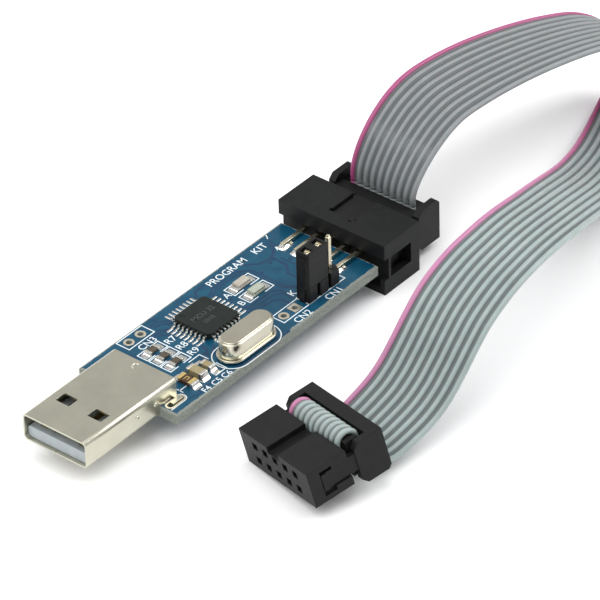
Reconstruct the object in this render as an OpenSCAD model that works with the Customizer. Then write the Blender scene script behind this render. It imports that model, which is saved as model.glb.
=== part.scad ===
// USB microcontroller programmer with its ribbon cable.
// A USB stick with a box header at its far end, a jumper, and a ten-way cable with two sockets.
// Places along the stick are measured from the front of the USB plug and up from the board's top
// face. on_board() then moves them into the model's frame: the origin is under the middle of the
// stick, level with the underside of the box header, +X runs from the plug to the box header.

/* [Circuit board] */
// Length of the board
board_l = 45.8; // [45.8:0.1:50]
// Width of the board
board_w = 18.6; // [18.6:0.1:22]
// Thickness of the board
board_t = 1.6; // [1.5:0.1:1.7]
// Distance from the plug's front to the board
board_start = 15.6; // [15.4:0.1:15.8]

/* [USB plug] */
// Length of the metal shell
plug_l = 19.4; // [19.2:0.1:19.6]
// Width of the metal shell
plug_w = 12; // [11.9:0.1:12.1]
// Height of the metal shell
plug_h = 4.5; // [4.4:0.1:4.6]
// Thickness of the shell's sheet
sheet_t = 0.3; // [0.2:0.05:0.4]
// Height of the shell's roof above the board
roof_z = 3; // [2.9:0.1:3.2]

/* [Microcontroller] */
// Distance from the plug's front to the chip's middle
chip_x = 35.6; // [35.4:0.1:36]
// Sideways place of the chip's middle
chip_y = 2.1; // [2:0.1:2.3]
// Side of the chip's square body
chip_side = 7; // [6.8:0.1:7.1]
// Pitch of the chip's leads
chip_pitch = 0.8; // [0.75:0.05:0.8]

/* [Crystal] */
// Distance from the plug's front to the crystal's middle
crystal_x = 34.5; // [34.3:0.1:35.2]
// Sideways place of the crystal's middle
crystal_y = -6.4; // [-6.5:0.1:-6.3]
// Height of the crystal's can
crystal_h = 3.5; // [3.2:0.1:4]

/* [Box header] */
// Width of the shroud
header_w = 20.3; // [20:0.1:20.6]
// Depth of the shroud along the stick
header_d = 8.3; // [8.2:0.1:8.6]
// Height of the shroud
header_h = 8.9; // [8.8:0.1:9.2]
// Height of the shroud above the board's top
header_above = 3.65; // [3.5:0.05:3.8]
// Distance from the plug's front to the shroud
header_start = 61.9; // [61.8:0.1:62.2]
// Contact pitch of the headers and sockets
pitch = 2.54; // [2.54:0.01:2.54]

/* [Jumper] */
// Distance from the plug's front to the first jumper pin
jumper_x = 48.9; // [48.7:0.1:49.2]
// Sideways place of the jumper pins
jumper_y = -6; // [-6.2:0.1:-5.9]
// Height of the jumper pins above the board
jumper_pin_h = 8.5; // [8.2:0.1:9]
// Height of the jumper cap
cap_h = 6; // [5.6:0.1:6]

/* [Cable] */
// Width of a cable socket
socket_w = 17.3; // [17.2:0.05:17.4]
// Thickness of a cable socket
socket_t = 6; // [5.8:0.1:6]
// Thickness of the ribbon
ribbon_t = 0.9; // [0.8:0.1:0.9]
// Place of the target socket's mating face along the model's X
target_x = -18.9; // [-19.5:0.1:-18.3]
// Place of the target socket's middle along the model's Y
target_y = -27.2; // [-28:0.1:-26.5]
// Turn of the target socket on the table
target_yaw = -15; // [-17:1:-13]
// Angle at which the ribbon holds up the target socket's back
target_tip = 10; // [9:1:12]
// Sideways lean of the target socket
target_lean = 8; // [6:1:9]

/* [Hidden] */

$fn = 32;
eps = 0.01;

stick_l = header_start + header_d;
board_z = header_h - header_above;
board_end = board_start + board_l;

// Board holes
spare_hole_r = 0.48;
pad_r = 0.85;
pad_t = 0.05;
spare_a = [24.75, 7.7];
spare_b = [43.4, -6.05];
pin_hole_r = 0.5;
pin_side = 0.64;
slot_l = 3.2;
slot_w = 1;
slot_x = 18.1;
slot_y = 6.9;

// Box header
mid_z = -board_t / 2;
header_low = header_above - header_h;
back_recess = 1;
floor_end = header_start + 2;
cavity_t = socket_t + 0.4;
cavity_w = socket_w + 0.5;
row_gap = pitch / 2;
key_slot_w = 4.5;

// Cable socket, measured from its mating face
body_d = 6.8;
cover_start = body_d + ribbon_t;
cover_d = 2.2;
relief_start = cover_start + cover_d + 1.1;
relief_d = 2.2;
slot_mid = cover_start + cover_d + 0.55;
socket_d = relief_start + relief_d;
ribbon_w = 10 * 1.27;
key_h = 1;
ear_drop = 1.1;
ear_t = 1.25;
fold_r = (slot_mid - body_d - ribbon_t / 2) / 2;
fold_mid = body_d + ribbon_t / 2 + fold_r;
fold_top = 1.9;
under_bend = 0.9;
hole_side = 1.1;

plug_mid_z = header_h / 2;
// the lower edge of the leaning socket's mating face touches the table with one end
target_mid_z = 0.02 + cos(target_tip) * (socket_w / 2 * sin(target_lean) + socket_t / 2 * cos(target_lean));

// The ribbon's route from the plug socket to the target socket, in the model's frame:
// X, Y, Z of its middle line and the bank of its flat side in degrees.
plug_face_x = floor_end - stick_l / 2;
ribbon_start = [plug_face_x + slot_mid, 0, plug_mid_z + socket_t / 2, 0];
target_exit = [socket_d + 0.3, 0, -socket_t / 2 - 0.35];
ribbon_end = concat(target_point(target_exit), [target_bank()]);
ribbon_last = concat(target_point(target_exit + [2.5, 0, 0]), [target_bank()]);
ribbon_route = concat([ribbon_start], [
    [39.25, 0, 9, 0],
    [40, 0, 11, 3],
    [41.8, 0, 13.3, 7],
    [44.5, 0, 15.5, 11],
    [48, 0, 17.3, 14],
    [52, 0, 18.2, 15],
    [56.5, -0.3, 18.4, 15],
    [62, -0.9, 18.3, 13],
    [68, -1.9, 18, 10],
    [74, -3.2, 17.5, 7],
    [80, -4.7, 16.7, 4],
    [85.5, -6.2, 15.4, 2],
    [90, -7.5, 13, 0],
    [92.6, -8.6, 9.8, 0],
    [92.9, -9.5, 6.4, 0],
    [91, -10.5, 3.3, 0],
    [87.4, -11.5, 1.4, 0],
    [82.5, -13.4, 0.9, 0],
    [77, -15.8, 1.6, 0],
    [71, -18.4, 3.2, 0],
    [64.5, -21.2, 5.7, 0],
    [58, -23.9, 8.6, -1],
    [52, -26.2, 11.4, -2],
    [46, -28.3, 14, -3],
    [40, -30.1, 16.2, -4],
    [34.5, -31.4, 17.8, -6],
    [29.5, -32.3, 18.7, -8],
    [25, -32.8, 18.8, -10],
    [21, -33, 18.3, -13],
    [17.3, -33.1, 17.2, -16],
    [13.8, -33.1, 15.4, -18],
    [10.7, -33.1, 12.9, -19],
    [7.9, -33, 10.1, -19],
    [5, -32.9, 7.6, -18],
    [1.7, -32.6, 5.6, -15]
], [ribbon_last, ribbon_end]);

// ---- Helpers ----

function unit(v) = v / norm(v);
function xyz(p) = [p[0], p[1], p[2]];
// Turns a direction, then a place, from the target socket's frame into the model's.
function leaned(v) = [
    v[0],
    v[1] * cos(target_lean) + v[2] * sin(target_lean),
    -v[1] * sin(target_lean) + v[2] * cos(target_lean)
];
function tipped(v) = [
    v[0] * cos(target_tip) - v[2] * sin(target_tip),
    v[1],
    v[0] * sin(target_tip) + v[2] * cos(target_tip)
];
function turned(v) = [
    v[0] * cos(target_yaw) - v[1] * sin(target_yaw),
    v[0] * sin(target_yaw) + v[1] * cos(target_yaw),
    v[2]
];
function target_way(v) = turned(tipped(leaned(v)));
function target_point(p) = [target_x, target_y, target_mid_z] + target_way(p);
// The bank that makes the ribbon's end lie flat on the socket.
function target_bank() =
    let (t = target_way([1, 0, 0]), side = target_way([0, 1, 0]))
    atan2(side * cross(t, level_side(t)), side * level_side(t));

// Puts a piece given from the plug's front and the board's top into the model's frame.
module on_board() {
    translate([-stick_l / 2, 0, board_z]) children();
}

// A box given by its two opposite corners.
module block(low, high) {
    translate(low) cube(high - low);
}

// A rectangle in the YZ plane with round corners, drawn out along X.
module round_bar(x_low, x_high, half_w, z_low, z_high, r) {
    translate([x_low, 0, 0]) rotate([90, 0, 90]) linear_extrude(x_high - x_low) {
        translate([-half_w + r, z_low]) square([2 * (half_w - r), z_high - z_low]);
        translate([-half_w, z_low + r]) square([2 * half_w, z_high - z_low - 2 * r]);
        for (y = [-half_w + r, half_w - r], z = [z_low + r, z_high - r])
            translate([y, z]) circle(r);
    }
}

// A slot with round ends along X, through the given height.
module round_slot(x, y, length, width, z_low, z_high) {
    translate([x, y, z_low]) linear_extrude(z_high - z_low) {
        square([length - width, width], center = true);
        for (s = [-1, 1]) translate([s * (length - width) / 2, 0]) circle(width / 2);
    }
}

// A flat chip part lying along X, standing on z = 0: its middle or its two end caps.
module chip_middle(l, w, h, cap) {
    block([-l / 2 + cap, -w / 2 + 0.03, 0.04], [l / 2 - cap, w / 2 - 0.03, h - 0.04]);
}

module chip_caps(l, w, h, cap) {
    for (s = [0, 1]) mirror([s, 0, 0])
        block([l / 2 - cap, -w / 2, 0.02], [l / 2, w / 2, h]);
}

// Two solder wedges at the ends of a chip part that lies along X.
module chip_fillets(l, w, h, foot) {
    for (s = [0, 1]) mirror([s, 0, 0])
        translate([l / 2, w / 2, 0]) rotate([90, 0, 0]) linear_extrude(w)
            polygon([[0, 0], [foot, 0], [foot * 0.35, h * 0.35], [0, h * 0.8]]);
}

// Places of the parts on the board: [x, y, turn]
resistor_places = [for (i = [0:2]) [25.2, 3.6 - 2.22 * i, 0]];
capacitor_places = [[24.75, -5.25, 90], [27.05, -5.25, 90]];
fuse_place = [22.6, -5.25, 90];
led_places = [[45.65, 3.9, 0], [45.65, 1.05, 0]];
lower_resistor_places = [for (i = [0:5]) [28 + 3.2 * i, 5.6, 90]];
lower_capacitor_places = [[31, -3.4, 90], [39.6, -3.4, 90], [47.5, -1, 0], [53, -1, 0]];
zener_places = [[24, 2.6, 0], [24, -0.6, 0]];
regulator_place = [50.4, 4.9, 0];
resistor_size = [2.0, 1.25, 0.5];
capacitor_size = [2.9, 1.55, 1.15];
small_cap_size = [2.0, 1.25, 0.85];
fuse_size = [3.1, 1.6, 0.75];
led_size = [3.2, 1.6, 0.75];
zener_size = [3.4, 1.5, 1.4];
end_cap = 0.35;

module at_place(p) {
    translate([p[0], p[1], 0]) rotate([0, 0, p[2]]) children();
}

// The same on the board's underside.
module under_board(p) {
    translate([p[0], p[1], -board_t]) mirror([0, 0, 1]) rotate([0, 0, p[2]]) children();
}

// ---- Board ----

module circuit_board() {
    color([0.1, 0.34, 0.5]) on_board() difference() {
        block([board_start, -board_w / 2, -board_t], [board_end, board_w / 2, 0]);
        for (p = [spare_a, spare_b], i = [0, 1])
            translate([p[0] + i * pitch, p[1], -board_t - 1])
                cylinder(h = board_t + 2, r = spare_hole_r);
        for (i = [0:2])
            translate([jumper_x + i * pitch, jumper_y, -board_t - 1])
                cylinder(h = board_t + 2, r = pin_hole_r);
        for (s = [-1, 1])
            translate([crystal_x + s * 2.44, crystal_y, -board_t - 1])
                cylinder(h = board_t + 2, r = 0.4);
        for (s = [-1, 1])
            round_slot(slot_x, s * slot_y, slot_l, slot_w, -board_t - 1, 1);
    }
}

module spare_hole_rings() {
    color([0.8, 0.78, 0.7]) on_board()
        for (p = [spare_a, spare_b], i = [0, 1], z = [0, -board_t - pad_t])
            translate([p[0] + i * pitch, p[1], z]) difference() {
                cylinder(h = pad_t, r = pad_r);
                translate([0, 0, -1]) cylinder(h = pad_t + 2, r = spare_hole_r);
            }
}

// ---- USB plug ----

module usb_shell() {
    bend_r = 0.75;
    low = roof_z - plug_h;
    color([0.68, 0.67, 0.6]) on_board() {
        difference() {
            round_bar(0, plug_l, plug_w / 2, low, roof_z, bend_r);
            round_bar(-1, plug_l + 1, plug_w / 2 - sheet_t, low + sheet_t, roof_z - sheet_t,
                      bend_r - sheet_t);
            // two latch windows in the roof and two in the floor
            for (s = [-1, 1])
                block([5.15, s * 3 - 1.25, low - 1], [7.15, s * 3 + 1.25, roof_z + 1]);
            // the rear end stands on the board
            block([board_start - 0.05, -plug_w, low - 1], [plug_l + 1, plug_w, 0]);
            // seam where the folded sheet meets
            block([-1, -0.05, low - 1], [plug_l, 0.05, low + sheet_t + eps]);
        }
        // a foot on each side, bent outwards and down through the board's slot
        for (s = [0, 1]) mirror([0, s, 0]) {
            block([18.5, plug_w / 2 - sheet_t, 0.02], [19.3, slot_y + 0.15, 0.32]);
            block([17.2, slot_y - 0.35, 0.02], [19.3, slot_y + 0.35, 0.32]);
            block([17.2, slot_y - 0.15, -board_t - 0.7], [19.3, slot_y + 0.15, 0.32]);
        }
    }
}

module usb_tongue() {
    low = roof_z - plug_h + sheet_t;
    top = roof_z - sheet_t - 0.05;
    corner_r = 0.5;
    color([0.8, 0.83, 0.88]) on_board() difference() {
        union() {
            // the flat tongue in the mouth
            round_bar(0.6, 12, 5.6, low + 0.05, low + 1.9, corner_r);
            // the block that fills the shell behind it
            round_bar(12, board_start - 0.1, 5.6, low + 0.05, top, corner_r);
            round_bar(board_start - 0.1, plug_l - 0.4, 5.6, 0.05, top, corner_r);
        }
        // a groove for each contact
        for (y = [-3.5, -1, 1, 3.5])
            block([1.6, y - 0.6, low + 1.65], [12, y + 0.6, low + 3]);
        for (y = [-3.5, -1, 1, 3.5])
            block([11.9, y - 0.55, 0.25], [plug_l, y + 0.55, 0.65]);
    }
}

module usb_contacts() {
    low = roof_z - plug_h + sheet_t;
    color([0.85, 0.7, 0.35]) on_board() for (y = [-3.5, -1, 1, 3.5]) {
        half = 0.5;
        front = abs(y) > 2 ? 1.8 : 2.8;
        translate([0, y + half, 0]) rotate([90, 0, 0]) linear_extrude(2 * half)
            polygon([
                [front, low + 1.65], [12, low + 1.65], [12.2, 0.3],
                [plug_l + 0.2, 0.3], [plug_l + 0.4, 0.02], [plug_l + 1.6, 0.02],
                [plug_l + 1.6, 0.22], [plug_l + 0.5, 0.22], [plug_l + 0.3, 0.5],
                [12.2, 0.5], [11.9, low + 1.85], [front, low + 1.85]
            ]);
    }
}

module usb_solder() {
    color([0.85, 0.85, 0.84]) on_board() {
        // the two shell feet, under the board
        for (s = [-1, 1]) difference() {
            translate([slot_x, s * slot_y, -board_t - 0.5]) cylinder(h = 0.48, r1 = 0.55, r2 = 0.95);
            block([17, s * slot_y - 0.2, -board_t - 1], [19.4, s * slot_y + 0.2, 0]);
        }
        // the four contact tails
        for (y = [-3.5, -1, 1, 3.5])
            translate([plug_l + 1.6, y + 0.6, 0]) rotate([90, 0, 0]) linear_extrude(1.2)
                polygon([[0, 0], [0.5, 0], [0.2, 0.12], [0, 0.24]]);
    }
}

// ---- Microcontroller ----

chip_h = 1.1;
lead_out = 1;

module microcontroller_body() {
    half = chip_side / 2;
    cut = 0.45;
    low = 0.1;
    parting = 0.55;
    color([0.2, 0.21, 0.21]) on_board() translate([chip_x, chip_y, 0]) difference() {
        translate([0, 0, low]) linear_extrude(chip_h - low)
            polygon([
                [-half + cut, -half], [half - cut, -half], [half, -half + cut], [half, half - cut],
                [half - cut, half], [-half + cut, half], [-half, half - cut], [-half, -half + cut]
            ]);
        // pin-one dimple
        translate([-half + 1, half - 1, chip_h - 0.08]) cylinder(h = 1, r = 0.45);
        // a pocket for the root of each lead
        for (turn = [0:90:270]) rotate([0, 0, turn]) for (i = [-3.5:3.5])
            block([half - 0.3, i * chip_pitch - 0.2, parting - 0.1],
                  [half + 1, i * chip_pitch + 0.2, parting + 0.1]);
    }
}

// One gull-wing lead, its root at the chip's side.
module gull_lead(width) {
    translate([0, width / 2, 0]) rotate([90, 0, 0]) linear_extrude(width)
        polygon([
            [-0.3, 0.47], [0.3, 0.47], [0.42, 0.03], [lead_out, 0.03], [lead_out, 0.19],
            [0.54, 0.19], [0.42, 0.63], [-0.3, 0.63]
        ]);
}

module microcontroller_leads() {
    color([0.82, 0.82, 0.8]) on_board() translate([chip_x, chip_y, 0])
        for (turn = [0:90:270]) rotate([0, 0, turn]) for (i = [-3.5:3.5])
            translate([chip_side / 2, i * chip_pitch, 0]) gull_lead(0.36);
}

// ---- Crystal ----

can_l = 10.3;
can_w = 3.8;
flange_l = 11.1;
flange_w = 4.65;
flange_h = 0.45;

module crystal_can() {
    color([0.72, 0.71, 0.66]) on_board() {
        round_slot(crystal_x, crystal_y, can_l, can_w, 0.25 + flange_h, crystal_h - 0.3);
        round_slot(crystal_x, crystal_y, can_l - 0.5, can_w - 0.5, crystal_h - 0.3, crystal_h);
    }
}

module crystal_flange() {
    color([0.7, 0.69, 0.64]) on_board()
        round_slot(crystal_x, crystal_y, flange_l, flange_w, 0.25, 0.25 + flange_h);
}

module crystal_leads() {
    color([0.75, 0.75, 0.72]) on_board() for (s = [-1, 1])
        translate([crystal_x + s * 2.44, crystal_y, -board_t - 0.9])
            cylinder(h = board_t + 0.9 + 0.25, r = 0.22);
}

// ---- Lights and chip parts on the top ----

module led_body() {
    l = led_size[0];
    w = led_size[1];
    block([-l / 2 + end_cap, -w / 2, 0.05], [l / 2 - end_cap, w / 2, 0.35]);
    block([-l / 2 + end_cap, -w / 2 + 0.1, 0.35], [l / 2 - end_cap, w / 2 - 0.1, led_size[2]]);
}

module red_led_body() {
    color([0.93, 0.88, 0.84]) on_board() at_place(led_places[0]) led_body();
}

module green_led_body() {
    color([0.86, 0.92, 0.84]) on_board() at_place(led_places[1]) led_body();
}

module led_terminals() {
    color([0.85, 0.83, 0.75]) on_board() for (p = led_places) at_place(p)
        chip_caps(led_size[0], led_size[1], 0.35, end_cap);
}

module resistor_bodies() {
    color([0.12, 0.11, 0.1]) on_board() for (p = resistor_places) at_place(p)
        chip_middle(resistor_size[0], resistor_size[1], resistor_size[2], end_cap);
}

module resistor_terminals() {
    color([0.8, 0.79, 0.74]) on_board() for (p = resistor_places) at_place(p)
        chip_caps(resistor_size[0], resistor_size[1], resistor_size[2], end_cap);
}

module capacitor_bodies() {
    color([0.62, 0.55, 0.4]) on_board() {
        at_place(capacitor_places[0])
            chip_middle(capacitor_size[0], capacitor_size[1], capacitor_size[2], 0.5);
        at_place(capacitor_places[1])
            chip_middle(small_cap_size[0], small_cap_size[1], small_cap_size[2], 0.4);
    }
}

module capacitor_terminals() {
    color([0.8, 0.79, 0.74]) on_board() {
        at_place(capacitor_places[0])
            chip_caps(capacitor_size[0], capacitor_size[1], capacitor_size[2], 0.5);
        at_place(capacitor_places[1])
            chip_caps(small_cap_size[0], small_cap_size[1], small_cap_size[2], 0.4);
    }
}

module fuse_body() {
    color([0.25, 0.16, 0.1]) on_board() at_place(fuse_place)
        chip_middle(fuse_size[0], fuse_size[1], fuse_size[2], 0.45);
}

module fuse_terminals() {
    color([0.75, 0.66, 0.4]) on_board() at_place(fuse_place)
        chip_caps(fuse_size[0], fuse_size[1], fuse_size[2], 0.45);
}

module surface_solder() {
    color([0.88, 0.88, 0.87]) on_board() {
        for (p = resistor_places) at_place(p)
            chip_fillets(resistor_size[0], resistor_size[1], resistor_size[2], 0.5);
        for (p = led_places) at_place(p)
            chip_fillets(led_size[0], led_size[1], 0.4, 0.4);
        at_place(capacitor_places[0])
            chip_fillets(capacitor_size[0], capacitor_size[1], capacitor_size[2], 0.6);
        at_place(capacitor_places[1])
            chip_fillets(small_cap_size[0], small_cap_size[1], small_cap_size[2], 0.5);
        at_place(fuse_place)
            chip_fillets(fuse_size[0], fuse_size[1], fuse_size[2], 0.55);
    }
}

// ---- Jumper ----

base_h = 2.5;

// The hole for a square pin, with a little room.
module pin_space(z_low, z_high) {
    side = pin_side + 0.02;
    block([-side / 2, -side / 2, z_low], [side / 2, side / 2, z_high]);
}

module jumper_header_base() {
    color([0.1, 0.1, 0.1]) on_board() for (i = [0:2])
        translate([jumper_x + i * pitch, jumper_y, 0]) difference() {
            cut = 0.4;
            half = pitch / 2;
            linear_extrude(base_h) polygon([
                [-half, -half + cut], [-half + cut, -half], [half - cut, -half], [half, -half + cut],
                [half, half - cut], [half - cut, half], [-half + cut, half], [-half, half - cut]
            ]);
            pin_space(-1, base_h + 1);
            // half of the notch between two pins, on both sides of the strip
            for (s = [-1, 1], t = [0, 1]) mirror([0, t, 0])
                block([s * half - 0.28, -half - 1, -1], [s * half + 0.28, -half + 0.7, base_h + 1]);
        }
}

module jumper_header_pins() {
    half = pin_side / 2;
    color([0.84, 0.78, 0.6]) on_board() for (i = [0:2])
        translate([jumper_x + i * pitch, jumper_y, 0]) {
            block([-half, -half, -board_t - 1.3], [half, half, jumper_pin_h - 0.3]);
            translate([0, 0, jumper_pin_h - 0.3]) linear_extrude(0.3)
                square(pin_side - 0.2, center = true);
        }
}

module through_hole_solder() {
    color([0.86, 0.86, 0.85]) on_board() {
        for (i = [0:2]) translate([jumper_x + i * pitch, jumper_y, -board_t - 0.8]) difference() {
            cylinder(h = 0.8, r1 = 0.5, r2 = 0.9);
            pin_space(-1, 2);
        }
        for (s = [-1, 1]) translate([crystal_x + s * 2.44, crystal_y, -board_t - 0.6]) difference() {
            cylinder(h = 0.6, r1 = 0.35, r2 = 0.8);
            translate([0, 0, -1]) cylinder(h = 3, r = 0.23);
        }
    }
}

cap_l = 2 * pitch;
cap_w = 2.5;
cap_z = base_h + 0.1;
cap_mid_x = jumper_x + pitch / 2;

module jumper_cap() {
    half_l = cap_l / 2 - 0.02;
    half_w = cap_w / 2;
    edge = 0.4;
    color([0.13, 0.13, 0.13]) on_board() translate([cap_mid_x, jumper_y, cap_z]) difference() {
        linear_extrude(cap_h) polygon([
            [-half_l, -half_w + edge], [-half_l + edge, -half_w], [half_l - edge, -half_w],
            [half_l, -half_w + edge], [half_l, half_w - edge], [half_l - edge, half_w],
            [-half_l + edge, half_w], [-half_l, half_w - edge]
        ]);
        // one chamber for the contact, open at the bottom and with two windows in the top
        block([-half_l + 0.4, -half_w + 0.45, -1], [half_l - 0.4, half_w - 0.45, cap_h - 0.7]);
        for (s = [-1, 1])
            block([s * pitch / 2 - 0.65, -half_w + 0.45, 0],
                  [s * pitch / 2 + 0.65, half_w - 0.45, cap_h + 1]);
        // the step round the top
        for (s = [0, 1]) mirror([s, 0, 0])
            block([half_l - 0.3, -half_w - 1, cap_h - 0.9], [half_l + 1, half_w + 1, cap_h + 1]);
    }
}

module jumper_contact() {
    leaf = 0.18;
    gap = pin_side / 2 + 0.03;
    top = cap_h - 0.9;
    color([0.85, 0.8, 0.65]) on_board() translate([cap_mid_x, jumper_y, cap_z]) {
        // a strip along each side of the two pins, joined by a bridge between them
        for (s = [0, 1]) mirror([0, s, 0])
            block([-pitch / 2 - 0.5, gap, 0.6], [pitch / 2 + 0.5, gap + leaf, top]);
        block([-0.5, -gap - leaf / 2, top - leaf], [0.5, gap + leaf / 2, top]);
    }
}

// ---- Box header ----

module box_header_shroud() {
    half_w = header_w / 2;
    front = stick_l;
    edge = 0.25;
    cavity_low = mid_z - cavity_t / 2;
    cavity_high = mid_z + cavity_t / 2;
    color([0.17, 0.17, 0.17]) on_board() difference() {
        block([header_start, -half_w, header_low], [front, half_w, header_above]);
        // the chamber that the socket goes into
        block([floor_end, -cavity_w / 2, cavity_low], [front + 1, cavity_w / 2, cavity_high]);
        // key slot in the roof
        block([floor_end + 0.5, -key_slot_w / 2, 0], [front + 1, key_slot_w / 2, header_above + 1]);
        // recess in the back that the board's end goes into
        block([header_start - 1, -half_w + 0.9, mid_z - 3.2],
              [header_start + back_recess, half_w - 0.9, mid_z + 1.9]);
        block([header_start - 1, -half_w - 1, mid_z - 1.8], [header_start + back_recess, half_w + 1, mid_z + 1.9]);
        // a window in each end wall
        for (s = [-1, 1])
            block([header_start + 1.5, s * half_w - 1.5, mid_z - 1.75],
                  [front - 2, s * half_w + 1.5, mid_z + 1.75]);
        // the small triangle that marks pin one
        translate([header_start + 1.7, -1.9, header_above - 0.4]) linear_extrude(1)
            polygon([[0, 0], [0.9, -0.55], [0.9, 0.55]]);
        // ten pin holes in the floor
        for (i = [-2:2], s = [-1, 1])
            translate([header_start, i * pitch, mid_z + s * row_gap])
                block([-1, -pin_side / 2 - eps, -pin_side / 2 - eps],
                      [3, pin_side / 2 + eps, pin_side / 2 + eps]);
        // the slots beside the key slot that free its lip
        for (s = [-1, 1])
            block([floor_end + 0.5, s * key_slot_w / 2 - edge, cavity_high],
                  [floor_end + 1.1, s * key_slot_w / 2 + edge, header_above + 1]);
    }
}

pin_tail_x = 56.5;
pin_tip_x = floor_end + 5.4;

module box_header_pins() {
    half = pin_side / 2;
    color([0.86, 0.8, 0.6]) on_board() for (i = [-2:2], s = [-1, 1])
        translate([0, i * pitch, mid_z + s * row_gap]) {
            block([pin_tail_x, -half, -half], [pin_tip_x - 0.3, half, half]);
            block([pin_tip_x - 0.3, -half + 0.1, -half + 0.1], [pin_tip_x, half - 0.1, half - 0.1]);
        }
}

module box_header_solder() {
    gap = row_gap - board_t / 2 - pin_side / 2;
    color([0.86, 0.86, 0.85]) on_board() for (i = [-2:2], s = [0, 1])
        translate([0, i * pitch, mid_z]) mirror([0, 0, s]) translate([0, 0, board_t / 2]) {
            block([pin_tail_x - 0.3, -0.55, 0], [pin_tail_x + 2, 0.55, gap - 0.01]);
            translate([pin_tail_x, 0.4, 0]) rotate([90, 0, 0]) linear_extrude(0.8)
                polygon([[-0.5, 0], [-0.01, 0], [-0.01, 0.6], [-0.2, 0.35]]);
        }
}

// ---- Parts on the underside ----

module regulator_body() {
    color([0.14, 0.14, 0.14]) on_board() under_board(regulator_place)
        block([-1.45, -0.65, 0.1], [1.45, 0.65, 1.1]);
}

module regulator_leads() {
    color([0.82, 0.82, 0.8]) on_board() under_board(regulator_place) {
        for (x = [-0.95, 0.95]) translate([x, 0.66, 0]) rotate([0, 0, 90]) foot();
        translate([0, -0.66, 0]) rotate([0, 0, -90]) foot();
    }
    module foot() {
        translate([0, 0.2, 0]) rotate([90, 0, 0]) linear_extrude(0.4)
            polygon([[0, 0.4], [0.2, 0.4], [0.3, 0.02], [0.6, 0.02], [0.6, 0.15], [0.4, 0.15],
                     [0.3, 0.55], [0, 0.55]]);
    }
}

module zener_bodies() {
    color([0.75, 0.3, 0.15]) on_board() for (p = zener_places) under_board(p)
        translate([-zener_size[0] / 2 + 0.4, 0, zener_size[1] / 2]) rotate([0, 90, 0])
            cylinder(h = zener_size[0] - 0.8, r = zener_size[2] / 2 - 0.02);
}

module zener_terminals() {
    color([0.8, 0.8, 0.78]) on_board() for (p = zener_places) under_board(p)
        for (s = [0, 1]) mirror([s, 0, 0])
            translate([zener_size[0] / 2 - 0.4, 0, zener_size[1] / 2]) rotate([0, 90, 0])
                cylinder(h = 0.4, r = zener_size[1] / 2 - 0.02);
}

module lower_resistor_bodies() {
    color([0.12, 0.11, 0.1]) on_board() for (p = lower_resistor_places) under_board(p)
        chip_middle(resistor_size[0], resistor_size[1], resistor_size[2], end_cap);
}

module lower_resistor_terminals() {
    color([0.8, 0.79, 0.74]) on_board() for (p = lower_resistor_places) under_board(p)
        chip_caps(resistor_size[0], resistor_size[1], resistor_size[2], end_cap);
}

module lower_capacitor_bodies() {
    color([0.62, 0.55, 0.4]) on_board() for (p = lower_capacitor_places) under_board(p)
        chip_middle(1.6, 0.85, 0.8, end_cap);
}

module lower_capacitor_terminals() {
    color([0.8, 0.79, 0.74]) on_board() for (p = lower_capacitor_places) under_board(p)
        chip_caps(1.6, 0.85, 0.8, end_cap);
}

// ---- Cable sockets ----
// A socket's own frame: its mating face is at x = 0, its back is towards +X, the groove and the
// ribbon's fold are on the +Z side and the key is on the -Z side.

module at_plug() {
    translate([plug_face_x, 0, plug_mid_z]) rotate([180, 0, 0]) children();
}

module at_target() {
    translate([target_x, target_y, target_mid_z])
        rotate([-target_lean, -target_tip, target_yaw]) children();
}

module socket_body() {
    half_w = socket_w / 2;
    half_t = socket_t / 2;
    difference() {
        union() {
            block([0, -half_w, -half_t], [body_d, half_w, half_t]);
            block([0.7, -2, -half_t - key_h], [body_d - 0.2, 2, -half_t]);
        }
        // groove along the top
        block([-1, -1.4, half_t - 1], [body_d + 1, 1.4, half_t + 1]);
        // ten pin holes
        for (i = [-2:2], s = [-1, 1])
            block([-1, i * pitch - hole_side / 2, s * row_gap - hole_side / 2],
                  [body_d - 0.5, i * pitch + hole_side / 2, s * row_gap + hole_side / 2]);
        // latch recess in each end, and the step that the cover's ears drop into
        for (s = [0, 1]) mirror([0, s, 0]) {
            block([2, half_w - ear_t - 0.05, -1.5], [body_d + 1, half_w + 1, 1.5]);
            block([2, half_w - 0.5, -2.1], [4, half_w + 1, 2.1]);
        }
    }
}

module socket_cover() {
    half_t = socket_t / 2;
    half_w = socket_w / 2 - ear_t - 0.1;
    round_r = cover_d / 2;
    translate([0, half_w, 0]) rotate([90, 0, 0]) linear_extrude(2 * half_w) {
        translate([cover_start, -half_t + 0.1]) square([cover_d, half_t - 0.1 + fold_top - 0.05]);
        translate([cover_start + round_r, fold_top - 0.05]) circle(round_r);
    }
    // the ends of the cover stand as high as the socket, past the fold
    for (s = [0, 1]) mirror([0, s, 0])
        block([cover_start, ribbon_w / 2 + 0.15, fold_top - 0.1], [cover_start + cover_d, half_w, half_t]);
}

module socket_strain_relief() {
    half_w = socket_w / 2;
    half_t = socket_t / 2;
    // the bar behind the ribbon
    block([relief_start, -half_w + ear_t / 2, -2.1], [socket_d, half_w - ear_t / 2, half_t]);
    for (s = [0, 1]) mirror([0, s, 0]) {
        // six-sided ear at each end
        translate([0, half_w, 0]) rotate([90, 0, 0]) linear_extrude(ear_t)
            polygon([
                [cover_start + 0.4, -half_t - ear_drop + 0.9], [cover_start + 1.3, -half_t - ear_drop],
                [socket_d - 0.6, -half_t - ear_drop], [socket_d, -half_t - ear_drop + 0.6],
                [socket_d, half_t], [cover_start + 1.3, half_t], [cover_start + 0.4, half_t - 1]
            ]);
        // the arm that runs forward to latch on the body
        block([3.1, half_w - ear_t, -1.4], [cover_start + 0.5, half_w - 0.25, 1.4]);
        block([2.1, half_w - ear_t, -1.4], [3.1, half_w - 0.05, 1.4]);
    }
}

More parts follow.
